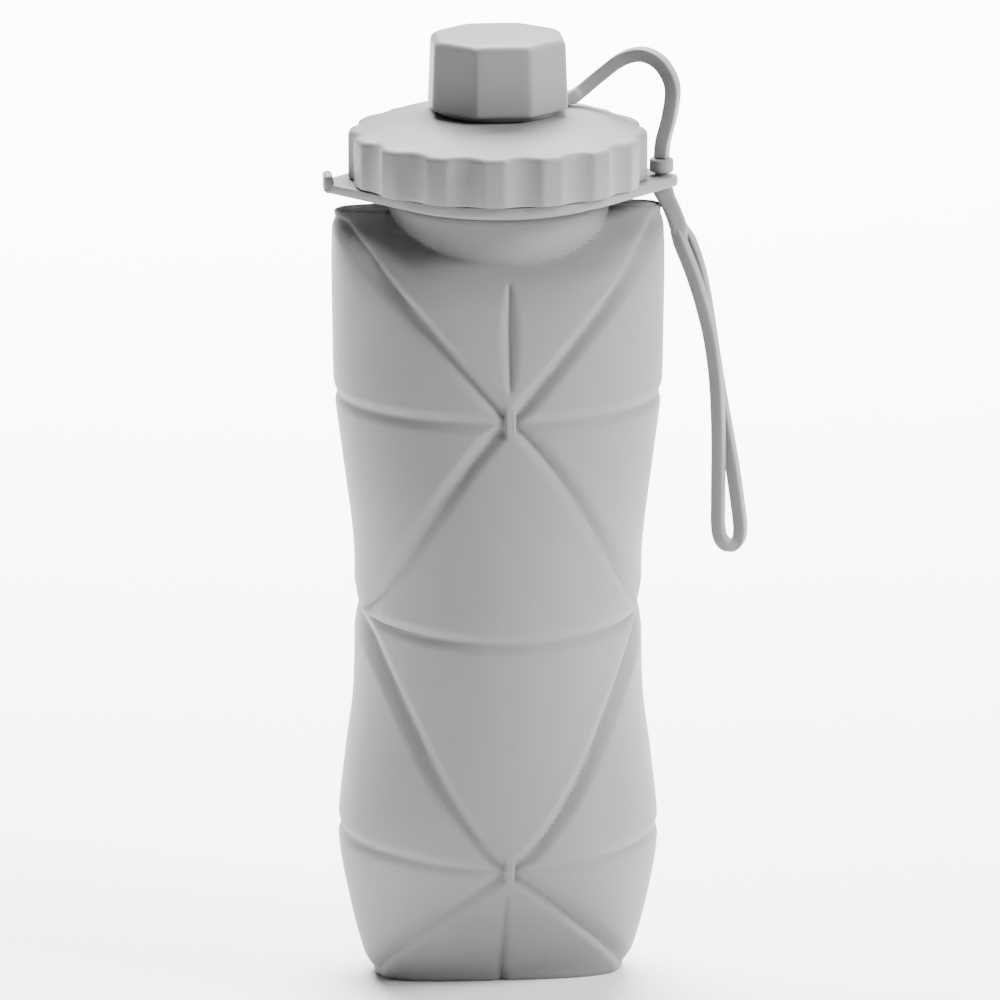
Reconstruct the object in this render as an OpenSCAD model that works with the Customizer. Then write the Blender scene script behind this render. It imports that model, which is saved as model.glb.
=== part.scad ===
// Folding silicone water bottle: a soft body that folds down along two rings of creases, a threaded neck,
// a scalloped collar lid, an octagonal spout cap, and a tether that carries on as a lanyard.
// Millimetres, +Z up, origin at the middle of the base on the surface it stands on. The front faces -Y.

/* [Body] */
// Width of the body across its top ridge
body_w = 75.6; // [74:0.2:77]
// Height of the body's top ridge above the base
ridge_z = 182; // [178:1:186]
// Width of the foot
foot_w = 58; // [50:1:62]
// Front to back depth of the foot
foot_d = 22; // [18:1:26]
// Thickness of the silicone wall
wall = 2.4; // [1.8:0.1:2.8]
// Height of the lowest crease ring
ring_low_z = 36; // [34:1:40]
// Height of the waist crease ring
ring_mid_z = 89; // [86:1:92]
// Height of the highest crease ring
ring_top_z = 139; // [136:1:142]
// Width of the body at the waist
waist_w = 66; // [64:1:68]

/* [Neck] */
// Outer radius of the silicone neck
neck_r = 25.3; // [24.5:0.1:26]
// Bore radius of the neck
mouth_r = 21; // [19:0.5:21.5]
// Thread pitch of the collar lid
lid_pitch = 5; // [4:0.5:6]

/* [Collar lid] */
// Radius of the collar over its ridges
collar_r = 34; // [33:0.5:36]
// Number of scallops round the collar
scallops = 16; // [12:1:20]
// Depth of each scallop
scallop_depth = 1.5; // [0.8:0.1:2]

/* [Spout cap] */
// Width of the octagonal cap across its flats at the bottom
cap_flats = 31; // [28:0.5:32]
// Height of the cap
cap_h = 16.7; // [15.1:0.2:18.1]
// Thread pitch of the spout cap
cap_pitch = 4; // [3:0.5:5]

/* [Tether] */
// Width of the tether cord
tether_w = 3.1; // [2.6:0.1:3.4]

/* [Hidden] */
$fn = 96;
silicone = "lightgrey";
plastic = "gainsboro";

// Heights where the body is divided for folding
base_top = 20;
waist_low = 84;
waist_high = 94;
shoulder_low = 150;

// Heights of the neck and lid
band_z = 185.8;
band_h = 2.2;
collar_z = band_z + band_h + 0.3;
neck_foot_z = 168;
flange_z = band_z - 2;
collar_h = 11.4;
collar_top = collar_z + collar_h;
ring_top = 196;
ceiling_z = ring_top + 1.6;
dome_top = collar_top + 3.8;
cap_z = 204.9;
// Hub under the cap, with a lip that holds the tether ring
hub_r = 13;
lip_r = 13.9;
hub_low = dome_top + 0.2;
lip_h = 0.4;
tether_ring_z = hub_low + lip_h + 0.05;
tether_ring_h = 0.6;
cap_top = cap_z + cap_h;

// Bore of the loose neck band, which clears the thread under the lid
band_bore_r = 26.9;

// Threaded ring that is moulded into the neck, from its foot up
ring_foot_z = 172;
ring_foot_r = 23.6;
ring_wall_r = 24.4;
// Sleeve that lines it
sleeve_r = mouth_r + 1.5;
// Thread under the collar
lid_thread_z = 189.6;
lid_bore_r = 27.6;
tooth = 2;
tooth_w = 2.2;
// Spout, and the thread under the cap
spout_r = 10;
spout_top = dome_top + 12;
spout_foot_r = 8;
spout_bore_r = 6.2;
cap_thread_z = cap_z + 3.4;
cap_bore_r = 12.2;
cap_bore_top = dome_top + 13.8;
cap_tooth = 1.4;
cap_tooth_w = 1.8;

// Eyelet and hook of the neck band
band_r = 31.8;
eye_x = 37.4;
eye_r = 1.9;
eye_rim_r = 3.7;
hook_x = 39.8;
hook_w = 6.8;
hook_t = 2.2;
hook_h = 4.2;
// Bead that stops the tether above the eyelet, on its stem
bead_z = 189;
bead_h = 3;
bead_r = 2.75;
stem_r = 1.5;
// Where the lanyard bends below the eyelet, and where the loop swings
hang_z = 184;
swing_x = 41.3;
swing_z = 178.8;
swing_r = 2.5;
strap_w = 3;
strap_t = 1.2;

// Slope of the curve at its point k
function slope(points, k) = let (a = points[max(0, k - 1)], b = points[min(len(points) - 1, k + 1)])
    (b[1] - a[1]) / (b[0] - a[0]);
// Value at z on a smooth curve through [z, value] points
function along(points, z) = let (n = len(points),
    i = max([0, for (k = [0:n - 2]) if (z >= points[k][0]) k]),
    h = points[i + 1][0] - points[i][0],
    t = max(0, min(1, (z - points[i][0]) / h)))
    points[i][1] * (1 + 2 * t) * pow(1 - t, 2) + points[i + 1][1] * t * t * (3 - 2 * t)
    + h * slope(points, i) * t * pow(1 - t, 2) - h * slope(points, i + 1) * t * t * (1 - t);

// Half width in X, half depth in Y, and squareness of the body's section at height z
half_w_points = [[0, foot_w / 2], [4, foot_w / 2 + 1.8], [18, foot_w / 2 + 5.4], [ring_low_z - 2, 36.9],
    [52, 35.4], [68, waist_w / 2 + 0.4], [ring_mid_z, waist_w / 2], [104, waist_w / 2 + 0.2], [124, 35.6],
    [ring_top_z, body_w / 2 - 0.4], [154, body_w / 2], [ridge_z - 4, body_w / 2],
    [ridge_z, body_w / 2 - 0.6]];
half_d_points = [[0, foot_d / 2 - 1], [4, foot_d / 2 + 0.6], [18, 22.5], [ring_low_z, 33], [60, 36.2],
    [ring_mid_z, 37], [116, 36.2], [ring_top_z, 33.6], [160, 32.2], [170, 29.2], [176, 20.3], [180, 9.4],
    [ridge_z, 4]];
squareness_points = [[0, 3.2], [ring_low_z, 2.2], [150, 2.15], [ridge_z, 2.6]];
function half_w(z) = along(half_w_points, z);
function half_d(z) = along(half_d_points, z);

// One rounded section of the body at height z, shrunk by inset
sides = 48;
function section(z, inset) = [for (i = [0:sides - 1]) let (a = 360 * i / sides, c = cos(a), s = sin(a),
    p = 2 / along(squareness_points, z)) [sign(c) * pow(abs(c), p) * (half_w(z) - inset),
    sign(s) * pow(abs(s), p) * (half_d(z) - inset), z]];

// Faces that join a stack of equal rings; closed either by its two end caps or back onto its first ring
function skin_faces(n, k) = [for (j = [0:n - 2], i = [0:k - 1], h = [0, 1]) let (i2 = (i + 1) % k,
    a = j * k + i, b = j * k + i2, c = (j + 1) * k + i, d = (j + 1) * k + i2) h == 0 ? [a, c, b] : [b, c, d]];
function cap_faces(n, k) = [[for (i = [0:k - 1]) i], [for (i = [k - 1:-1:0]) (n - 1) * k + i]];
module stack(rings) {
    n = len(rings);
    k = len(rings[0]);
    polyhedron([for (r = rings) each r], concat(skin_faces(n, k), cap_faces(n, k)));
}
// Heights between two levels in steps of about 6 mm
function levels(z0, z1) = let (n = max(1, ceil((z1 - z0) / 6))) [for (i = [0:n]) z0 + (z1 - z0) * i / n];
function reversed(v) = [for (i = [len(v) - 1:-1:0]) v[i]];

// A wall of the body between two heights, open at both ends
module body_wall(z0, z1) {
    outer = [for (z = levels(z0, z1)) section(z, 0)];
    inner = [for (z = reversed(levels(z0, z1))) section(z, wall)];
    all = concat(outer, inner);
    k = len(all[0]);
    n = len(all);
    polyhedron([for (r = all) each r], concat(skin_faces(n, k),
        [for (i = [0:k - 1], h = [0, 1]) let (i2 = (i + 1) % k, a = (n - 1) * k + i, b = (n - 1) * k + i2)
            h == 0 ? [a, i, b] : [b, i, i2]]));
}

// A helical tooth on a wall of radius r, pointing out (dir 1) or in (dir -1)
module helix(r, depth, dir, pitch, z0, turns, width) {
    steps = 24;
    bury = 0.4;
    count = round(turns * steps);
    rings = [for (i = [0:count]) let (a = 360 * i / steps, z = z0 + pitch * i / steps,
        fade = max(0.15, min(1, min(i, count - i) / 4)), r1 = r - dir * bury, r2 = r + dir * depth * fade)
        [for (p = [[r1, -width / 2], [r2, -width / 4], [r2, width / 4], [r1, width / 2]])
            [p[0] * cos(a), p[0] * sin(a), z + p[1]]]];
    if (dir > 0) stack(reversed(rings)); else stack(rings);
}

// A cord of radius r swept along points
module cord(points, r, n) {
    count = len(points);
    rings = [for (i = [0:count - 1]) let (p = points[i],
        d = points[min(i + 1, count - 1)] - points[max(i - 1, 0)], t = d / norm(d),
        u0 = cross(t, [0.02, 1, 0.01]), u = u0 / norm(u0), v = cross(t, u))
        [for (j = [0:n - 1]) let (a = 360 * (j + 0.5) / n) p + r * (cos(a) * u + sin(a) * v)]];
    stack(reversed(rings));
}
// Points of a smooth curve through the route, with steps on each stretch
function bend(p0, p1, p2, p3, t) = 0.5 * (2 * p1 + (p2 - p0) * t + (2 * p0 - 5 * p1 + 4 * p2 - p3) * t * t
    + (3 * p1 - p0 - 3 * p2 + p3) * t * t * t);
function smooth(route, steps) = let (n = len(route)) [for (i = [0:n - 2], k = [0:steps - 1])
    bend(route[max(0, i - 1)], route[i], route[i + 1], route[min(n - 1, i + 2)], k / steps), route[n - 1]];

// Routes of the free cords, from the part they leave to where they end
tether_route = [[17.4, 5.5, 205.4], [19.8, 6.8, 206.6], [24.2, 8.2, 209.8], [29.2, 8.4, 213.4],
    [33.8, 7, 214.7], [37.8, 5, 212.7], [40.1, 3, 208], [39.4, 1.4, 201.8], [37.8, 0.4, 196],
    [eye_x, 0, bead_z + bead_h + 0.1]];
// The loop's two strands lie either side of a middle line: [x, z, half gap, turn of the pair about Z]
loop_route = [[41.3, 175.8, 1.7, 62], [43, 172, 1.8, 52], [45.2, 166, 1.75, 58], [47.2, 158.5, 1.7, 72],
    [48.9, 150, 1.7, 84], [50.2, 141, 1.7, 82], [51.2, 132.5, 1.7, 66], [52, 125, 1.75, 44],
    [52.6, 118, 1.95, 22], [53.1, 111, 2.3, 8], [53.5, 105, 2.55, 0], [53.7, 101.8, 1.9, 0]];
loop_end = [53.8, 0, 100.6];
function strand(side) = [for (p = loop_route)
    [p[0] + side * p[2] * cos(p[3]), side * p[2] * sin(p[3]), p[1]]];

module base_section() {
    color(silicone) {
        difference() {
            stack([for (z = levels(0, base_top)) section(z, 0)]);
            stack([for (z = levels(wall, base_top + 1)) section(z, wall)]);
        }
    }
}
module lower_fold_wall() color(silicone) body_wall(base_top, waist_low);
module waist_band() color(silicone) body_wall(waist_low, waist_high);
module upper_fold_wall() color(silicone) body_wall(waist_high, shoulder_low);
module shoulder_section() {
    color(silicone) difference() {
        union() {
            stack([for (z = levels(shoulder_low, ridge_z)) section(z, 0)]);
            translate([0, 0, neck_foot_z]) cylinder(r = neck_r, h = flange_z - neck_foot_z);
        }
        stack([for (z = levels(shoulder_low - 1, ridge_z - wall - 1)) section(z, wall)]);
        translate([0, 0, neck_foot_z - 8]) cylinder(r = ring_foot_r, h = 40);
    }
}
module neck_thread_ring() {
    color(plastic) {
        difference() {
            union() {
                translate([0, 0, ring_foot_z]) cylinder(r = ring_foot_r, h = band_z - ring_foot_z);
                // Flange that the neck band rests on
                translate([0, 0, flange_z]) cylinder(r = neck_r, h = band_z - flange_z);
                translate([0, 0, flange_z]) cylinder(r = ring_wall_r, h = ring_top - flange_z);
                helix(ring_wall_r, tooth, 1, lid_pitch, lid_thread_z, 0.9, tooth_w);
            }
            translate([0, 0, ring_foot_z - 1]) cylinder(r = sleeve_r, h = 40);
        }
    }
}
module neck_sleeve() {
    color(silicone) translate([0, 0, ring_foot_z]) difference() {
        cylinder(r = sleeve_r, h = ring_top - ring_foot_z);
        translate([0, 0, -1]) cylinder(r = mouth_r, h = 40);
    }
}
// A loose ring drawn out to an eyelet at the right and to a hook at the left
module neck_band() {
    color(silicone) difference() {
        union() {
            translate([0, 0, band_z]) linear_extrude(height = band_h) hull() {
                circle(r = band_r);
                translate([eye_x, 0]) circle(r = eye_rim_r);
                translate([-hook_x + 1, -hook_w / 2]) square([8, hook_w]);
            }
            translate([-hook_x, -hook_w / 2, band_z]) cube([hook_t, hook_w, hook_h]);
        }
        translate([0, 0, band_z - 1]) cylinder(r = band_bore_r, h = 10);
        translate([eye_x, 0, band_z - 1]) cylinder(r = eye_r, h = 10, $fn = 32);
    }
}

module lid_gasket() {
    color(silicone) translate([0, 0, ring_top + 0.1]) difference() {
        cylinder(r = ring_wall_r, h = ceiling_z - ring_top - 0.2);
        translate([0, 0, -1]) cylinder(r = mouth_r + 1, h = 4);
    }
}

// Outline of the collar with its scallops
module scalloped() {
    pitch_angle = 360 / scallops;
    groove_r = 7.6;
    difference() {
        circle(r = collar_r);
        for (i = [0:scallops - 1])
            rotate(i * pitch_angle - 90 + 5) translate([collar_r - scallop_depth + groove_r, 0])
                circle(r = groove_r, $fn = 64);
    }
}
module collar_lid() {
    color(plastic) difference() {
        union() {
            translate([0, 0, collar_z]) linear_extrude(height = collar_h - 0.6) scalloped();
            translate([0, 0, collar_top - 0.6]) cylinder(r1 = collar_r - 1.5, r2 = collar_r - 2.2, h = 0.6);
            translate([0, 0, collar_top]) cylinder(r1 = collar_r - 2.2, r2 = 16, h = dome_top - collar_top);
        }
        translate([0, 0, collar_z - 1]) difference() {
            cylinder(r = lid_bore_r, h = ceiling_z - collar_z + 1);
            helix(lid_bore_r, tooth, -1, lid_pitch, lid_thread_z + lid_pitch / 2 - collar_z + 1, 0.6, tooth_w);
        }
        translate([0, 0, ceiling_z - 1]) cylinder(r = spout_foot_r, h = 20);
    }
}
module spout() {
    color(plastic) difference() {
        union() {
            translate([0, 0, ceiling_z]) cylinder(r = spout_foot_r, h = dome_top - ceiling_z);
            translate([0, 0, dome_top]) cylinder(r = spout_r, h = spout_top - dome_top);
            helix(spout_r, cap_tooth, 1, cap_pitch, cap_thread_z, 1.2, cap_tooth_w);
        }
        translate([0, 0, ceiling_z - 1]) cylinder(r = spout_bore_r, h = 30);
    }
}
module spout_cap_seal() {
    color(silicone) translate([0, 0, spout_top + 0.2]) cylinder(r = spout_r, h = 1.4);
}
module cap_bore() difference() {
    cylinder(r = cap_bore_r, h = cap_bore_top - cap_z + 1);
    helix(cap_bore_r, cap_tooth, -1, cap_pitch, cap_thread_z + cap_pitch / 2 - cap_z + 1, 1.2, cap_tooth_w);
}
// Octagonal cap with its flats facing the front, narrower at its top
module spout_cap() {
    across = cap_flats / cos(22.5) / 2;
    taper = 0.6;
    chamfer = 1.5;
    edge_h = 0.9;
    color(silicone) difference() {
        translate([0, 0, cap_z]) rotate(22.5) {
            cylinder(r1 = across - 0.7, r2 = across, h = edge_h, $fn = 8);
            translate([0, 0, edge_h])
                cylinder(r1 = across, r2 = across - taper, h = cap_h - edge_h - chamfer, $fn = 8);
            translate([0, 0, cap_h - chamfer])
                cylinder(r1 = across - taper, r2 = across - taper - chamfer, h = chamfer, $fn = 8);
        }
        translate([0, 0, cap_z - 1]) cap_bore();
    }
    color(silicone) difference() {
        union() {
            translate([0, 0, hub_low]) cylinder(r = lip_r, h = lip_h);
            translate([0, 0, hub_low]) cylinder(r = hub_r, h = cap_z - hub_low);
        }
        translate([0, 0, hub_low - 1]) cylinder(r = cap_bore_r, h = 5);
    }
}
module cap_tether_ring() {
    color(silicone) translate([0, 0, tether_ring_z]) difference() {
        union() {
            cylinder(r = lip_r + 0.4, h = tether_ring_h);
            // Lug that the tether grows from
            rotate(17.7) translate([lip_r, -1.6, 0]) cube([2.9, 3.2, tether_ring_h]);
        }
        translate([0, 0, -1]) cylinder(r = hub_r + 0.3, h = 4);
    }
}
module tether() color(silicone) cord(smooth(tether_route, 4), tether_w / 2, 8);
module stopper_bead() {
    color(silicone) {
        translate([eye_x, 0, bead_z]) cylinder(r = bead_r, h = bead_h, $fn = 40);
        translate([eye_x, 0, band_z - 0.2]) cylinder(r = stem_r, h = bead_z - band_z + 0.3, $fn = 32);
    }
}
module lanyard_junction() {
    color(silicone) hull() {
        translate([eye_x + 0.1, -strap_w / 2, hang_z - strap_t / 2]) cube([strap_w / 2, strap_w, strap_t]);
        translate([swing_x - 1, 0, swing_z]) rotate([0, 90, 0]) cylinder(r = swing_r, h = 2, $fn = 32);
    }
}
module lanyard_loop() {
    color(silicone) cord(smooth(concat(strand(1), [loop_end], reversed(strand(-1))), 3), tether_w / 2, 8);
}

base_section();
lower_fold_wall();
waist_band();
upper_fold_wall();
shoulder_section();
neck_thread_ring();
neck_sleeve();
neck_band();
lid_gasket();
collar_lid();
spout();
spout_cap_seal();
spout_cap();
cap_tether_ring();
tether();
stopper_bead();
lanyard_junction();
lanyard_loop();
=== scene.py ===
"""Folding silicone water bottle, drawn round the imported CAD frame. Lengths in the code are millimetres."""
import math
import bpy
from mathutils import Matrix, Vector


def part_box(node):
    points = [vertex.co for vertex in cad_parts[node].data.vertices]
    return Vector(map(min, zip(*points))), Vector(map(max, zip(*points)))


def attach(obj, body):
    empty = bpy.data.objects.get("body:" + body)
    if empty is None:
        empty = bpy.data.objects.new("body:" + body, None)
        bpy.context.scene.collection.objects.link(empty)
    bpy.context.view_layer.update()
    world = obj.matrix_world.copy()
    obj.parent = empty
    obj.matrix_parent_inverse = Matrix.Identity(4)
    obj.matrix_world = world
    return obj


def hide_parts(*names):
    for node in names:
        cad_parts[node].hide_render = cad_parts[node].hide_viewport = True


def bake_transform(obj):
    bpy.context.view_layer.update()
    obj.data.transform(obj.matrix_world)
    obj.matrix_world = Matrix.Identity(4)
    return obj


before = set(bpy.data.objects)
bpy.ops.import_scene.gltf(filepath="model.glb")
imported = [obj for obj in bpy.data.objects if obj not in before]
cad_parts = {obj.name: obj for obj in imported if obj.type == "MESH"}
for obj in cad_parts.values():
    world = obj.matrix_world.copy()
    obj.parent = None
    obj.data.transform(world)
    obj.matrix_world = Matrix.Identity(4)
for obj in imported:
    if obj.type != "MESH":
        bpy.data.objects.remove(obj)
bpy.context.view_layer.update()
MM = 0.001
TAU = 2 * math.pi


# ---------------------------------------------------------------- sizes taken from the frame
def node_mm(name):
    """A node's lowest and highest corners in millimetres."""
    low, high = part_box(name)
    return [v / MM for v in low], [v / MM for v in high]


shoulder_low, shoulder_high = node_mm("shoulder_section")
collar_low, collar_high = node_mm("collar_lid")
cap_low, cap_high = node_mm("spout_cap")
band_low = node_mm("neck_band")[0]
bead_high = node_mm("stopper_bead")[1]

# The body: these repeat the CAD's outline, as (height, value) points
WALL = 2.4
EYE_X = 37.4                 # middle of the band's eyelet
NECK_R = 25.3
NECK_BORE_R = 23.6
RIDGE_Z = 182.0
RING_LOW_Z, RING_MID_Z, RING_TOP_Z = 36.0, 89.0, 139.0
HALF_W = [(0, 29), (4, 30.8), (18, 34.4), (34, 36.9), (52, 35.4), (68, 33.4), (RING_MID_Z, 33), (104, 33.2),
          (124, 35.6), (RING_TOP_Z, 37.4), (154, 37.8), (178, 37.8), (RIDGE_Z, 37.2)]
HALF_D = [(0, 10), (4, 11.6), (18, 22.5), (RING_LOW_Z, 33), (60, 36.2), (RING_MID_Z, 37), (116, 36.2),
          (RING_TOP_Z, 33.6), (160, 32.2), (170, 29.2), (176, 20.3), (180, 9.4), (RIDGE_Z, 4)]
SQUARENESS = [(0, 3.2), (RING_LOW_Z, 2.2), (150, 2.15), (RIDGE_Z, 2.6)]


def along(points, z):
    """Value at z on a smooth curve through (z, value) points."""
    n = len(points)
    i = max([0] + [k for k in range(n - 1) if z >= points[k][0]])
    (z0, v0), (z1, v1) = points[i], points[i + 1]

    def slope(k):
        a, b = points[max(0, k - 1)], points[min(n - 1, k + 1)]
        return (b[1] - a[1]) / (b[0] - a[0])

    h = z1 - z0
    t = min(1.0, max(0.0, (z - z0) / h))
    return (v0 * (1 + 2 * t) * (1 - t) ** 2 + v1 * t * t * (3 - 2 * t)
            + h * slope(i) * t * (1 - t) ** 2 - h * slope(i + 1) * t * t * (1 - t))


def body_radius(angle, z):
    """Distance of the plain body surface from the axis, at an angle from +X."""
    p = along(SQUARENESS, z)
    c, s = abs(math.cos(angle)), abs(math.sin(angle))
    return ((c / along(HALF_W, z)) ** p + (s / along(HALF_D, z)) ** p) ** (-1 / p)


# ---------------------------------------------------------------- camera
def look_from(azimuth, elevation, distance, target):
    """Camera position that sees the target from this direction."""
    a, e = math.radians(azimuth), math.radians(elevation)
    flat = distance * math.cos(e)
    return Vector((target[0] + flat * math.sin(a), target[1] - flat * math.cos(a),
                   target[2] + distance * math.sin(e)))


CAMERA_AZIMUTH, CAMERA_ELEVATION, CAMERA_DISTANCE = -5.0, 14.4, 1.9
CAMERA_TARGET = Vector((0.0005, 0, 0.1125))
CAMERA_LENS = 298


def make_camera():
    """A long lens a little above the bottle, looking slightly from its left."""
    data = bpy.data.cameras.new("camera")
    data.sensor_width = 36
    data.lens = CAMERA_LENS
    data.clip_start = 0.01
    cam = bpy.data.objects.new("camera", data)
    bpy.context.scene.collection.objects.link(cam)
    cam.location = look_from(CAMERA_AZIMUTH, CAMERA_ELEVATION, CAMERA_DISTANCE, CAMERA_TARGET)
    cam.rotation_euler = (CAMERA_TARGET - cam.location).to_track_quat("-Z", "Y").to_euler()
    bpy.context.scene.camera = cam


# ---------------------------------------------------------------- mesh helpers
def finish_mesh(name, verts, faces, sharp_deg=35):
    """An object from millimetre vertices, smooth except at edges sharper than sharp_deg."""
    mesh = bpy.data.meshes.new(name)
    mesh.from_pydata([(x * MM, y * MM, z * MM) for x, y, z in verts], [], faces)
    mesh.validate()
    mesh.polygons.foreach_set("use_smooth", [True] * len(mesh.polygons))
    mesh.set_sharp_from_angle(angle=math.radians(sharp_deg))
    obj = bpy.data.objects.new(name, mesh)
    bpy.context.scene.collection.objects.link(obj)
    return obj


def loft(rings, ends="caps"):
    """Vertices and faces of a stack of equal closed rings, closed by end caps or back onto its first ring."""
    k = len(rings[0])
    verts = [p for ring in rings for p in ring]
    last = len(rings) - 1
    faces = []
    for j in range(len(rings) if ends == "loop" else last):
        a0, b0 = j * k, ((j + 1) % len(rings)) * k
        for i in range(k):
            i2 = (i + 1) % k
            faces.append((a0 + i, a0 + i2, b0 + i2, b0 + i))
    if ends == "caps":
        faces.append(tuple(range(k - 1, -1, -1)))
        faces.append(tuple(last * k + i for i in range(k)))
    return verts, faces


def merge(parts):
    """Joins several (verts, faces) pairs into one."""
    verts, faces = [], []
    for v, f in parts:
        shift = len(verts)
        verts += v
        faces += [tuple(i + shift for i in face) for face in f]
    return verts, faces


def revolve(profile, steps=192):
    """A closed profile of (r, z) points, anticlockwise seen with r to the right, turned about Z."""
    rings = [[(r * math.cos(TAU * i / steps), r * math.sin(TAU * i / steps), z) for i in range(steps)]
             for r, z in profile]
    return loft(rings, "loop")


def rounded(profile, radius, steps=4):
    """The closed profile with every corner rounded to about this radius."""
    out = []
    n = len(profile)
    for i in range(n):
        p = Vector(profile[i])
        a, b = Vector(profile[i - 1]) - p, Vector(profile[(i + 1) % n]) - p
        cut = min(radius, 0.45 * a.length, 0.45 * b.length)
        start, end = p + a.normalized() * cut, p + b.normalized() * cut
        for s in range(steps + 1):
            t = s / steps
            q = start * (1 - t) ** 2 + p * 2 * t * (1 - t) + end * t * t
            out.append((q.x, q.y))
    return out


def helix(r, depth, direction, pitch, z0, turns, width):
    """A helical tooth standing on a wall of radius r: out with direction 1, in with -1."""
    per_turn, bury = 48, 0.3
    fade_steps = 8
    count = round(turns * per_turn)
    rings = []
    for i in range(count + 1):
        a = TAU * i / per_turn
        fade = max(0.15, min(1, min(i, count - i) / fade_steps))
        r1, r2 = r - direction * bury, r + direction * depth * fade
        z = z0 + pitch * i / per_turn
        ring = [(r1, -width / 2), (r2, -width / 4), (r2, width / 4), (r1, width / 2)]
        if direction > 0:
            ring.reverse()
        rings.append([(q * math.cos(a), q * math.sin(a), z + dz) for q, dz in reversed(ring)])
    return loft(rings)


def bend(p0, p1, p2, p3, t):
    """Catmull-Rom point between p1 and p2."""
    return 0.5 * (2 * p1 + (p2 - p0) * t + (2 * p0 - 5 * p1 + 4 * p2 - p3) * t * t
                  + (3 * p1 - p0 - 3 * p2 + p3) * t ** 3)


def smooth(route, steps):
    """A smooth path through the route's points, with this many steps between neighbours."""
    pts = [Vector(p) for p in route]
    n = len(pts)
    out = []
    for i in range(n - 1):
        for k in range(steps):
            out.append(bend(pts[max(0, i - 1)], pts[i], pts[i + 1], pts[min(n - 1, i + 2)], k / steps))
    return out + [pts[-1]]


def swept(path, width, height, side_of, corner=0.42, arc=4, scale_of=lambda i: (1, 1)):
    """A cord of rounded rectangular section along a path.

    side_of(i, tangent) gives its width direction, and scale_of(i) the share of its width and height there.
    """
    w, h = width / 2, height / 2
    section = rounded([(w, h), (-w, h), (-w, -h), (w, -h)], corner * min(width, height), arc)
    rings = []
    for i, p in enumerate(path):
        t = (path[min(i + 1, len(path) - 1)] - path[max(i - 1, 0)]).normalized()
        side = side_of(i, t)
        side = (side - t * side.dot(t)).normalized()
        up = t.cross(side)
        wide, tall = scale_of(i)
        rings.append([tuple(p + side * u * wide + up * v * tall) for u, v in section])
    return loft(rings)


# ---------------------------------------------------------------- the cords' routes, as in the CAD
TETHER_ROUTE = [(17.4, 5.5, 205.4), (19.8, 6.8, 206.6), (24.2, 8.2, 209.8), (29.2, 8.4, 213.4),
                (33.8, 7, 214.7), (37.8, 5, 212.7), (40.1, 3, 208), (39.4, 1.4, 201.8), (37.8, 0.4, 196),
                (EYE_X, 0, bead_high[2] + 0.1)]
# Where the tether joins its ring, in the gap under the cap
TETHER_ROOT = (13.7, 4.3, 204.45)
# The loop's two strands lie either side of a middle line: x, z, half gap, turn of the pair about Z
LOOP_ROUTE = [(41.3, 175.8, 1.7, 62), (43, 172, 1.8, 52), (45.2, 166, 1.75, 58), (47.2, 158.5, 1.7, 72),
              (48.9, 150, 1.7, 84), (50.2, 141, 1.7, 82), (51.2, 132.5, 1.7, 66), (52, 125, 1.75, 44),
              (52.6, 118, 1.95, 22), (53.1, 111, 2.3, 8), (53.5, 105, 2.55, 0), (53.7, 101.8, 1.9, 0)]
LOOP_END = (53.8, 0, 100.6)


def strand(side):
    """One strand of the loop, on the side given as 1 or -1."""
    out = []
    for x, z, gap, turn in LOOP_ROUTE:
        a = math.radians(turn)
        out.append((x + side * gap * math.cos(a), side * gap * math.sin(a), z))
    return out


# ---------------------------------------------------------------- the creased body skin
SKIN_STEPS = 480
ROW_STEP = 0.55
GROOVE_DEPTH, GROOVE_HALF = 1.95, 2.55        # diagonal creases
GROOVE_SIDE_FADE = 0.93                       # share of the half width where the diagonals start to fade
RING_DEPTH, RING_HALF = 0.85, 2.4             # ring creases
RIB_HALF, RIB_EDGE, RIB_TALL = 0.9, 0.5, 4.0  # flat rib at each crossing
PIT_DEPTH, PIT_REACH = 2.5, 5.0               # hollow either side of the rib
NODE_TOP_Z, NODE_LOW_Z = 138.6, 33.0          # where the diagonals cross on the front and back
LENS_DEPTH, LENS_HALF = 1.5, 2.2              # upright pointed grooves on the middle line
LENS_SPANS = ((144.8, 170.5), (-9.0, 27.5))   # the lower one is cut off by the foot
CREASE_FADE_Z, CREASE_FADE = RIDGE_Z - 0.8, 1.8  # all creases end just under the ridge
NECK_DIP, NECK_DIP_REACH = 0.4, 3.0           # the panels dip where they meet the neck


def smoothstep(t):
    """0 up to t = 0, 1 from t = 1, and a smooth rise between."""
    t = min(1.0, max(0.0, t))
    return t * t * (3 - 2 * t)


def valley(distance, half):
    """1 at the sharp bottom of a crease, 0 outside it, with sides that ease out at the shoulders."""
    t = min(1.0, abs(distance) / half)
    return (1 - t) * (1 - 0.45 * t)


def crease_lines():
    """Diagonals as (height at the front middle, height at the sides, power of the curve between)."""
    return [(NODE_TOP_Z, RIDGE_Z - 1, 1.0), (NODE_TOP_Z, RING_MID_Z, 1.2),
            (NODE_LOW_Z, RING_MID_Z, 1.25), (NODE_LOW_Z, 2.0, 1.0)]


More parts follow.
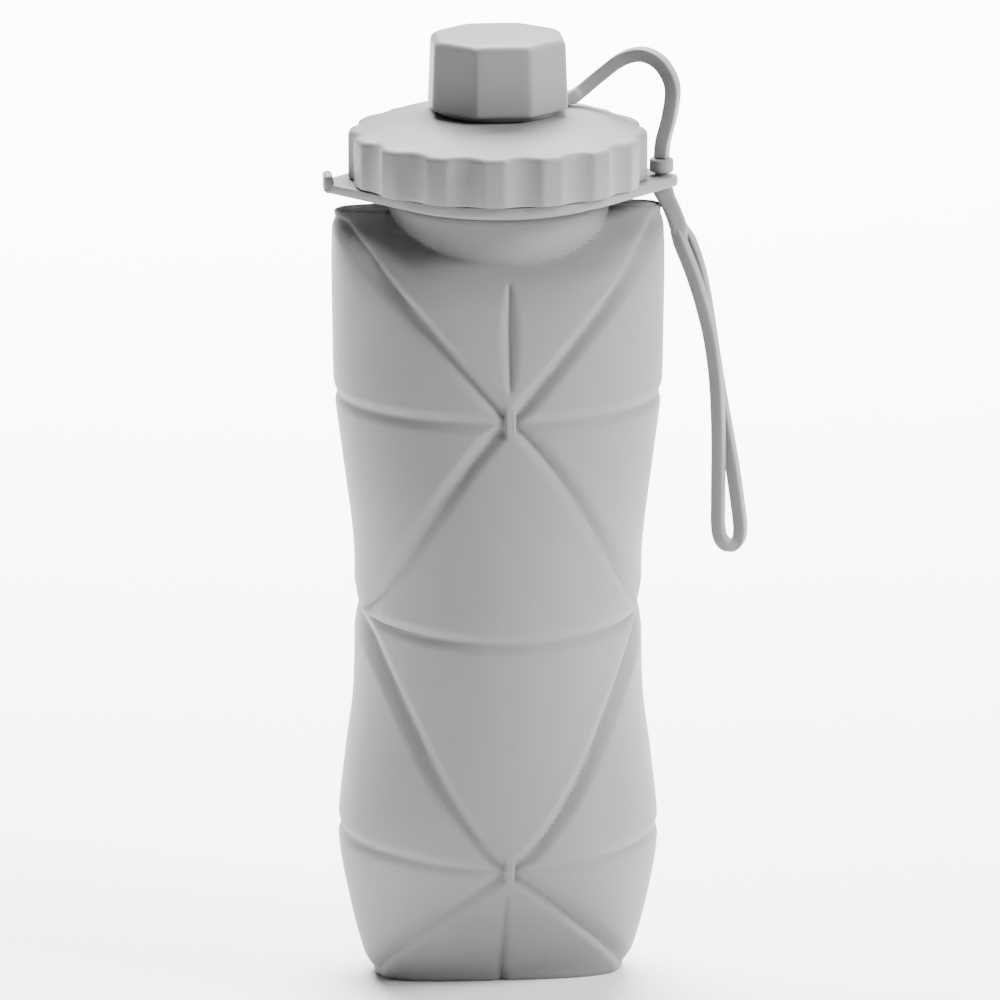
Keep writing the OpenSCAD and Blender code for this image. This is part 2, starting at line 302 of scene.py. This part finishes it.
def crease_depth(angle, z):
    """How far the skin is pressed in at this angle from +X and height."""
    x = abs(math.cos(angle)) * body_radius(angle, z)
    reach = along(HALF_W, z)
    u = min(1.0, x / reach)
    depth = 0.0
    for z_mid, z_side, power in crease_lines():
        if min(z_mid, z_side) - 4 <= z <= max(z_mid, z_side) + 4:
            line = z_mid + (z_side - z_mid) * u ** power
            slope = (z_side - z_mid) * power * max(u, 0.02) ** (power - 1) / reach
            off = (z - line) / math.hypot(1, slope)
            depth = max(depth, GROOVE_DEPTH * valley(off, GROOVE_HALF))
    depth *= 1 - 0.5 * smoothstep((u - GROOVE_SIDE_FADE) / (1 - GROOVE_SIDE_FADE))
    middle = smoothstep(1 - u)
    for z_side, z_mid in ((RING_LOW_Z, NODE_LOW_Z), (RING_MID_Z, RING_MID_Z - 1), (RING_TOP_Z, NODE_TOP_Z)):
        depth = max(depth, RING_DEPTH * valley(z - z_side - (z_mid - z_side) * middle, RING_HALF))
    for z_node in (NODE_LOW_Z, NODE_TOP_Z):
        up = abs(z - z_node) / RIB_TALL
        if up < 1 and x < PIT_REACH:
            pit = smoothstep((1 - up) * 2.5) * (1 - x / PIT_REACH) ** 1.5
            depth = max(depth, PIT_DEPTH * pit)
        if up < 1.3 and x < PIT_REACH:
            depth *= smoothstep((x - RIB_HALF) / RIB_EDGE)
    for z_low, z_high in LENS_SPANS:
        depth = max(depth, lens(x, z, z_low, z_high))
    return depth * smoothstep((CREASE_FADE_Z - z) / CREASE_FADE)


def lens(x, z, z_low, z_high):
    """A pointed vertical groove on the middle line."""
    t = (z - z_low) / (z_high - z_low)
    if not 0 < t < 1:
        return 0.0
    width = LENS_HALF * math.sin(math.pi * t) ** 0.6
    return LENS_DEPTH * width / LENS_HALF * valley(x, width) if width > 0.1 else 0.0


def skin_angles():
    """Angles round the body, closer together at the narrow ends of the ridge."""
    crowd = 0.68
    out = []
    for i in range(SKIN_STEPS):
        a = TAU * i / SKIN_STEPS
        out.append(a - crowd * math.sin(2 * a) / 2)
    return out


def body_ring(z, inset=0.0, floor_r=0.0, creased=True, dipped=False):
    """The skin's outline at one height, no nearer the axis than floor_r."""
    ring = []
    for a in skin_angles():
        r = body_radius(a, z) - inset
        if creased:
            r -= crease_depth(a, z)
        if dipped:
            r -= NECK_DIP * smoothstep(1 - (r - NECK_R) / NECK_DIP_REACH)
        r = max(r, floor_r)
        ring.append((r * math.cos(a), r * math.sin(a), z))
    return ring


def steps_between(z0, z1, step):
    """Heights from z0 to z1, evenly spaced by no more than step."""
    n = max(1, math.ceil((z1 - z0) / step))
    return [z0 + (z1 - z0) * i / n for i in range(n + 1)]


INSIDE_STEP = 5                               # row spacing of the plain inside
FOOT_EDGE_Z = 1.0
FOOT_EDGE = ((0.93, 0), (0.975, 0.12), (0.993, 0.45))  # share of the outline, height
INSIDE_TOP_Z, NECK_BORE_LOW_Z = 165, 166      # where the inside narrows to the neck's bore
NECK_EDGE = 0.3


def make_lower_skin():
    """Foot to waist crease, with its floor and its inside."""
    outer = [body_ring(z) for z in steps_between(FOOT_EDGE_Z, RING_MID_Z, ROW_STEP)]
    edge = [[(x * share, y * share, z) for x, y, _ in body_ring(0)] for share, z in FOOT_EDGE]
    inner = [body_ring(z, WALL, creased=False)
             for z in reversed(steps_between(WALL, RING_MID_Z, INSIDE_STEP))]
    obj = finish_mesh("body_lower_skin", *loft(edge + outer + inner), sharp_deg=50)
    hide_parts("base_section", "lower_fold_wall")
    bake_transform(obj)
    return obj


def make_upper_skin():
    """Waist crease to ridge and neck, with the bore and the inside."""
    outer = [body_ring(z, floor_r=NECK_R, dipped=True)
             for z in steps_between(RING_MID_Z, RIDGE_Z - 0.6, ROW_STEP)]
    brim = [(math.cos(a), math.sin(a), body_radius(a, RIDGE_Z)) for a in skin_angles()]
    round_off = 0.12
    for t in (0.0, 0.04, round_off, 0.5, 1.0):
        z = RIDGE_Z - 0.5 * (1 - min(1, t / round_off)) ** 2 + 0.35 * t
        radii = [NECK_R + max(0, r - NECK_R) * (1 - t) for _, _, r in brim]
        outer.append([(c * q, s * q, z) for (c, s, _), q in zip(brim, radii)])
    neck_top = shoulder_high[2]
    for r, z in ((NECK_R, neck_top - NECK_EDGE), (NECK_R - NECK_EDGE, neck_top),
                 (NECK_BORE_R, neck_top), (NECK_BORE_R, NECK_BORE_LOW_Z)):
        outer.append([(r * c, r * s, z) for c, s, _ in brim])
    inner = [body_ring(z, WALL, floor_r=NECK_BORE_R, creased=False)
             for z in reversed(steps_between(RING_MID_Z, INSIDE_TOP_Z, INSIDE_STEP))]
    obj = finish_mesh("body_upper_skin", *loft(outer + inner, "loop"), sharp_deg=50)
    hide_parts("upper_fold_wall", "waist_band", "shoulder_section")
    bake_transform(obj)
    return obj


# ---------------------------------------------------------------- the collar lid
SCALLOPS, SCALLOP_DEPTH = 16, 1.5
GROOVE_SHARE = 0.64          # of each pitch
GROOVE_TURN = 5              # degrees from the front to the middle of the nearest groove
COLLAR_R, COLLAR_BORE = 34.0, 27.6
COLLAR_RIM, COLLAR_CEILING = 11.4, 9.3        # heights above the collar's foot
SPOUT_HOLE_R = 8.05
DOME_R, DOME_RUN = COLLAR_R - 2.8, 15.5       # where the domed top starts, and how far in it levels out


def collar_cut(angle):
    """Depth of the scallop at this angle."""
    pitch = TAU / SCALLOPS
    u = ((angle + math.pi / 2 - math.radians(GROOVE_TURN)) / pitch + 0.5) % 1 - 0.5
    t = abs(u) / (GROOVE_SHARE / 2)
    return SCALLOP_DEPTH * (1 - t * t) if t < 1 else 0.0


def make_collar():
    """The scalloped collar with its domed top, plain bore and one thread tooth."""
    z0, bore = collar_low[2], COLLAR_BORE
    rim, ceiling = z0 + COLLAR_RIM, z0 + COLLAR_CEILING
    steps_per_scallop = 25
    steps = SCALLOPS * steps_per_scallop
    # r, z, share of the scallop's depth that shows there
    profile = [(bore, ceiling, 0), (bore, z0 + 0.4, 0), (bore + 0.4, z0, 0), (COLLAR_R - 2.6, z0, 0),
               (COLLAR_R - 0.5, z0, 0.75), (COLLAR_R - 0.12, z0 + 0.15, 0.95), (COLLAR_R, z0 + 0.6, 1),
               (COLLAR_R, z0 + 4, 1), (COLLAR_R, rim - 1.6, 1), (COLLAR_R - 0.1, rim - 1.1, 1),
               (COLLAR_R - 0.45, rim - 0.6, 0.95), (COLLAR_R - 1.0, rim - 0.22, 0.8),
               (COLLAR_R - 1.8, rim - 0.02, 0.5), (DOME_R, rim + 0.15, 0.15)]
    rise = collar_high[2] - rim - 0.15
    for r in (29, 26, 23, 20, 17.5, 15.7):
        profile.append((r, rim + 0.15 + rise * math.sin(math.pi / 2 * (DOME_R - r) / DOME_RUN), 0))
    profile += [(SPOUT_HOLE_R, collar_high[2], 0), (SPOUT_HOLE_R, ceiling, 0)]
    rings = []
    for r, z, share in profile:
        ring = []
        for i in range(steps):
            a = TAU * i / steps
            q = r - share * collar_cut(a)
            ring.append((q * math.cos(a), q * math.sin(a), z))
        rings.append(ring)
    tooth = helix(bore, depth=2, direction=-1, pitch=5, z0=192.1, turns=0.6, width=2.2)
    obj = finish_mesh("collar_shell", *merge([loft(rings, "loop"), tooth]), sharp_deg=28)
    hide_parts("collar_lid")
    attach(obj, "lid")
    return obj


# ---------------------------------------------------------------- the octagonal cap
CAP_FLAT = 15.5              # from the axis to the middle of a face
CAP_TURN = 22.5
CAP_BORE_R, CAP_HUB_R, CAP_LIP_R = 12.2, 13.0, 13.9
CAP_FACES_Z, CAP_CEILING = 1.2, 13.6          # heights above the cap's foot
CAP_CORNER = 0.95                             # rounding of the upright edges
CAP_SHOULDER = 2.2                            # height of the rounded top edge


def octagon(flat, z, corner, arc=5, straight=6):
    """A ring round a rounded octagon of this apothem."""
    reach = flat / math.cos(math.pi / 8)
    corners = []
    for i in range(8):
        turn = TAU * (i / 8) + math.radians(CAP_TURN)
        corners.append(Vector((reach * math.cos(turn), reach * math.sin(turn))))
    ring = []
    for i in range(8):
        p = corners[i]
        a, b = (corners[i - 1] - p).normalized(), (corners[(i + 1) % 8] - p).normalized()
        start, end = p + a * corner, p + b * corner
        for s in range(arc + 1):
            t = s / arc
            q = start * (1 - t) ** 2 + p * 2 * t * (1 - t) + end * t * t
            ring.append((q.x, q.y, z))
        following = corners[(i + 1) % 8] - b * corner
        for s in range(1, straight):
            q = end.lerp(following, s / straight)
            ring.append((q.x, q.y, z))
    return ring


def make_cap():
    """The octagonal cap on its round hub and lip, with a blind bore and its thread tooth."""
    low, z1 = cap_low[2], cap_high[2]
    z0, ceiling = low + CAP_FACES_Z, low + CAP_CEILING
    bore, hub, lip = CAP_BORE_R, CAP_HUB_R, CAP_LIP_R
    brow, brow_z = CAP_FLAT - 0.55, z1 - CAP_SHOULDER
    outer = [(CAP_FLAT - 0.75, z0, 1.4), (CAP_FLAT - 0.3, z0 + 0.12, 1.2), (CAP_FLAT - 0.05, z0 + 0.5, 1.0),
             (CAP_FLAT, z0 + 1.0, CAP_CORNER), (CAP_FLAT - 0.25, z0 + 7, CAP_CORNER),
             (brow, brow_z, CAP_CORNER)]
    for t in (0.2, 0.4, 0.6, 0.8, 1.0):
        a = math.pi / 2 * t
        outer.append((brow - 1.75 * (1 - math.cos(a)), brow_z + 1.95 * math.sin(a), CAP_CORNER + 1.6 * t))
    outer += [(CAP_FLAT - 4.0, z1 - 0.12, 2.4), (CAP_FLAT - 7.5, z1 - 0.02, 1.6), (0.8, z1, 0.1)]
    turns = [math.atan2(y, x) for x, y, _ in octagon(CAP_FLAT, 0, CAP_CORNER)]

    def circle(r, z):
        return [(r * math.cos(a), r * math.sin(a), z) for a in turns]

    rings = [circle(0.8, ceiling), circle(bore, ceiling), circle(bore, low + 0.2), circle(bore + 0.2, low),
             circle(lip - 0.15, low), circle(lip, low + 0.15), circle(lip, low + 0.4), circle(hub, low + 0.4),
             circle(hub, z0)]
    rings += [octagon(flat, z, corner) for flat, z, corner in outer]
    tooth = helix(bore, depth=1.4, direction=-1, pitch=4, z0=210.3, turns=1.2, width=1.8)
    obj = finish_mesh("cap_shell", *merge([loft(rings), tooth]), sharp_deg=32)
    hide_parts("spout_cap")
    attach(obj, "cap")
    return obj


# ---------------------------------------------------------------- neck band, tether, bead and lanyard
BAND_BORE, BAND_R = 26.9, 31.8
BAND_THICK, BAND_EDGE = 2.2, 0.3
EYE_RIM = 3.7
HOOK_X, TAB_HALF, TAB_CORNER = 38.0, 2.8, 0.6
HOOK_THICK, HOOK_HALF, HOOK_CORNER = 2.2, 3.4, 0.9
# Of the hook: inset all round, height above the band's foot
HOOK_LAYERS = ((0.5, 0.05), (0, 0.6), (0, 2.2), (0, 3.3), (0.25, 3.9), (0.8, 4.2))
BEAD_R, BEAD_TALL = 2.75, 3.1
BEAD_STEM_R, BEAD_STEM = 1.5, 2.6


def band_outline():
    """Outer edge of the band: a ring drawn out by straight sides to a round eyelet and a square hook tab."""
    steps = 720
    ends = [(EYE_X, 0, EYE_RIM), (-HOOK_X, TAB_HALF, TAB_CORNER), (-HOOK_X, -TAB_HALF, TAB_CORNER),
            (0, 0, BAND_R)]
    reach = []
    for i in range(steps):
        a = TAU * i / steps
        reach.append(max(x * math.cos(a) + y * math.sin(a) + r for x, y, r in ends))
    out = []
    for i, h in enumerate(reach):
        # Where neighbouring tangent lines of the hull cross
        a0, a1 = TAU * i / steps, TAU * (i + 1) / steps
        h1 = reach[(i + 1) % steps]
        d = math.sin(a1 - a0)
        out.append(((h * math.sin(a1) - h1 * math.sin(a0)) / d, (h1 * math.cos(a0) - h * math.cos(a1)) / d))
    return out


def make_band():
    """The flat band with its eyelet, and the hook standing on its tab."""
    z0, z1 = band_low[2], band_low[2] + BAND_THICK
    outline = band_outline()
    rings = []
    for inset, z in ((0.35, z0), (0.08, z0 + 0.12), (0, z0 + 0.4), (0, z1 - 0.4), (0.08, z1 - 0.12),
                     (0.35, z1)):
        shares = [1 - inset / math.hypot(x, y) for x, y in outline]
        rings.append([(x * share, y * share, z) for (x, y), share in zip(outline, shares)])
    k = len(outline)
    inner = []
    for r, z in ((BAND_BORE + BAND_EDGE, z1), (BAND_BORE, z1 - BAND_EDGE), (BAND_BORE, z0 + BAND_EDGE),
                 (BAND_BORE + BAND_EDGE, z0)):
        inner.append([(r * math.cos(TAU * i / k), r * math.sin(TAU * i / k), z) for i in range(k)])
    shell = loft(rings + inner, "loop")
    # The hook: a rounded upright plate at the end of the tab
    plate = []
    for inset, up in HOOK_LAYERS:
        x0, x1 = band_low[0] + inset, band_low[0] + HOOK_THICK - inset
        y1 = HOOK_HALF - inset
        box = [(x0, -y1), (x1, -y1), (x1, y1), (x0, y1)]
        plate.append([(x, y, z0 + up) for x, y in rounded(box, HOOK_CORNER)])
    obj = finish_mesh("neck_band_skin", *merge([shell, loft(plate)]), sharp_deg=40)
    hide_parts("neck_band")
    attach(obj, "band")
    return obj


def make_bead():
    """The bead that stops the cord above the eyelet, and its stem down through it."""
    z0, z1 = bead_high[2] - BEAD_TALL, bead_high[2]
    core, foot = 0.05, z0 - BEAD_STEM
    profile = rounded([(core, foot), (BEAD_STEM_R, foot), (BEAD_STEM_R, z0), (BEAD_R, z0), (BEAD_R, z1),
                       (core, z1)], 0.6, 5)
    verts, faces = revolve(profile, 48)
    obj = finish_mesh("bead_skin", [(x + EYE_X, y, z) for x, y, z in verts], faces, sharp_deg=40)
    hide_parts("stopper_bead")
    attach(obj, "band")
    return obj


def make_tether():
    """The cord from the ring under the cap to the bead."""
    steps = 10
    path = smooth([TETHER_ROOT] + TETHER_ROUTE, steps)
    across = Vector((0.45, 1.0, 0.1))

    def thinned(i):
        """Flat under the cap, full beyond it."""
        t = smoothstep(i / steps)
        return 1.25 - 0.25 * t, 0.24 + 0.76 * t

    mesh = swept(path, 3.1, 3.1, lambda i, t: across, 0.16, scale_of=thinned)
    obj = finish_mesh("tether_cord", *mesh, sharp_deg=50)
    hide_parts("tether")
    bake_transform(obj)
    return obj


def make_loop():
    """Both strands of the lanyard and the round end that joins them."""
    route = strand(1) + [LOOP_END] + list(reversed(strand(-1)))
    path = smooth(route, 8)
    last = len(path) - 1

    def tapered(i):
        """Thin where a strand leaves the split."""
        full = 0.8 + 0.2 * smoothstep(min(i, last - i) / 8)
        return full, full

    def facing(i, t):
        """Across the strands, and straight across the round end."""
        return Vector((0.5, 1, 0.2)) if abs(t.z) > 0.35 else Vector((0, 1, 0))

    mesh = swept(path, 2.6, 2.9, facing, 0.2, scale_of=tapered)
    obj = finish_mesh("lanyard_cord", *mesh, sharp_deg=50)
    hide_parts("lanyard_loop")
    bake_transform(obj)
    return obj


def make_junction():
    """A thin stem through the eyelet, a plug under it, and the cord's split into the loop's two strands."""
    steps = 6
    path = smooth([(EYE_X, 0, 187.4), (EYE_X, 0, 185.7), (38.4, 0, 183.1), (39.7, 0, 180.4), (40.8, 0, 177.6),
                   (41.7, 0, 174.6), (42.9, 0, 171.8)], steps)
    last = len(path) - 1

    def spread(i):
        """Share of the cord's width and height: plug, widening split, then a web between strands."""
        if i < steps:
            return 0.95, 0.95
        t = (i - steps) / (last - steps)
        web = smoothstep((t - 0.7) / 0.3)
        wide = 1.5 + 0.6 * smoothstep(t / 0.5)
        tall = 1.4 + 0.3 * smoothstep(1 - t / 0.3)
        return wide * (1 - 0.7 * web), tall * (1 - 0.6 * web)

    mesh = swept(path, 2.6, 2.8, lambda i, t: Vector((0, 1, 0)), 0.26, scale_of=spread)
    obj = finish_mesh("junction_skin", *mesh, sharp_deg=50)
    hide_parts("lanyard_junction")
    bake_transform(obj)
    return obj


# ---------------------------------------------------------------- materials
def material(name, colour, rough, grain, grain_size, sheen=0.0, tint=0.03):
    """Moulded silicone or plastic: a faint cloudy tint, fine bead-blast grain, and uneven gloss."""
    mat = bpy.data.materials.new(name)
    mat.use_nodes = True
    nodes, links = mat.node_tree.nodes, mat.node_tree.links
    shader = nodes["Principled BSDF"]
    shader.inputs["Specular IOR Level"].default_value = 0.3
    shader.inputs["Sheen Weight"].default_value = sheen
    shader.inputs["Sheen Roughness"].default_value = 0.5
    coords = nodes.new("ShaderNodeTexCoord")
    clouds = nodes.new("ShaderNodeTexNoise")
    clouds.inputs["Scale"].default_value = 55
    clouds.inputs["Detail"].default_value = 3
    ramp = nodes.new("ShaderNodeMix")
    ramp.data_type = "RGBA"
    ramp.inputs["A"].default_value = [c * (1 - tint) for c in colour] + [1]
    ramp.inputs["B"].default_value = [min(1, c * (1 + tint)) for c in colour] + [1]
    fine = nodes.new("ShaderNodeTexNoise")
    fine.inputs["Scale"].default_value = grain_size
    fine.inputs["Detail"].default_value = 4
    gloss = nodes.new("ShaderNodeMapRange")
    gloss.inputs["To Min"].default_value = rough - 0.06
    gloss.inputs["To Max"].default_value = rough + 0.06
    bump = nodes.new("ShaderNodeBump")
    bump.inputs["Strength"].default_value = grain
    bump.inputs["Distance"].default_value = 0.0001
    links.new(coords.outputs["Object"], clouds.inputs["Vector"])
    links.new(coords.outputs["Object"], fine.inputs["Vector"])
    links.new(clouds.outputs["Fac"], ramp.inputs["Factor"])
    links.new(ramp.outputs["Result"], shader.inputs["Base Color"])
    links.new(clouds.outputs["Fac"], gloss.inputs["Value"])
    links.new(gloss.outputs["Result"], shader.inputs["Roughness"])
    links.new(fine.outputs["Fac"], bump.inputs["Height"])
    links.new(bump.outputs["Normal"], shader.inputs["Normal"])
    return mat


def dress(obj, mat):
    """Puts one material on the whole object."""
    obj.data.materials.clear()
    obj.data.materials.append(mat)


# ---------------------------------------------------------------- studio
def area_light(name, place, size, power, target=(0, 0, 0.11), spread=180):
    """A rectangular lamp aimed at the target, with its places in metres and its spread in degrees."""
    data = bpy.data.lights.new(name, "AREA")
    data.shape = "RECTANGLE"
    data.size, data.size_y = size
    data.energy = power
    data.spread = math.radians(spread)
    light = bpy.data.objects.new(name, data)
    bpy.context.scene.collection.objects.link(light)
    light.location = place
    light.rotation_euler = (Vector(target) - light.location).to_track_quat("-Z", "Y").to_euler()


def make_studio():
    """A pale floor, a dim world, a lamp on the ground behind the bottle and a key lamp at the right."""
    mesh = bpy.data.meshes.new("floor")
    half = 6.0
    corners = [(-half, -half, 0), (half, -half, 0), (half, half, 0), (-half, half, 0)]
    mesh.from_pydata(corners, [], [(0, 1, 2, 3)])
    floor = bpy.data.objects.new("floor", mesh)
    bpy.context.scene.collection.objects.link(floor)
    floor_mat = bpy.data.materials.new("floor_paper")
    floor_mat.use_nodes = True
    shader = floor_mat.node_tree.nodes["Principled BSDF"]
    shader.inputs["Base Color"].default_value = (0.95, 0.955, 0.953, 1)
    shader.inputs["Roughness"].default_value = 0.9
    mesh.materials.append(floor_mat)
    world = bpy.data.worlds.new("studio")
    world.use_nodes = True
    background = world.node_tree.nodes["Background"]
    background.inputs["Color"].default_value = (0.95, 0.97, 0.965, 1)
    background.inputs["Strength"].default_value = 0.12
    bpy.context.scene.world = world
    area_light("floor_wash", (0, 1.25, 1.6), (1.6, 1.6), 200, target=(0, 1.15, 0), spread=110)
    area_light("key_right", (1.35, -0.6, 1.1), (0.6, 0.6), 66)


# ---------------------------------------------------------------- build
make_camera()
silicone = material("silicone_grey", (0.18, 0.179, 0.178), 0.6, 0.25, 2600, sheen=0.12)
lid_plastic = material("lid_grey", (0.19, 0.189, 0.188), 0.5, 0.18, 3400, sheen=0.06)
cord_silicone = material("cord_grey", (0.18, 0.179, 0.178), 0.52, 0.2, 3000, sheen=0.12)
thread_plastic = material("thread_grey", (0.3, 0.3, 0.298), 0.38, 0.1, 4000, tint=0.02)
seal_silicone = material("seal_clear_grey", (0.56, 0.57, 0.56), 0.42, 0.1, 3000, sheen=0.05, tint=0.02)

dress(make_tether(), cord_silicone)
dress(make_loop(), cord_silicone)
dress(make_junction(), cord_silicone)
dress(make_bead(), cord_silicone)
dress(make_band(), cord_silicone)
dress(make_lower_skin(), silicone)
dress(make_upper_skin(), silicone)
dress(make_collar(), lid_plastic)
dress(make_cap(), lid_plastic)
for name, finish in (("neck_thread_ring", thread_plastic), ("spout", thread_plastic),
                     ("neck_sleeve", silicone), ("lid_gasket", seal_silicone),
                     ("spout_cap_seal", seal_silicone), ("cap_tether_ring", cord_silicone)):
    dress(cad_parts[name], finish)
make_studio()
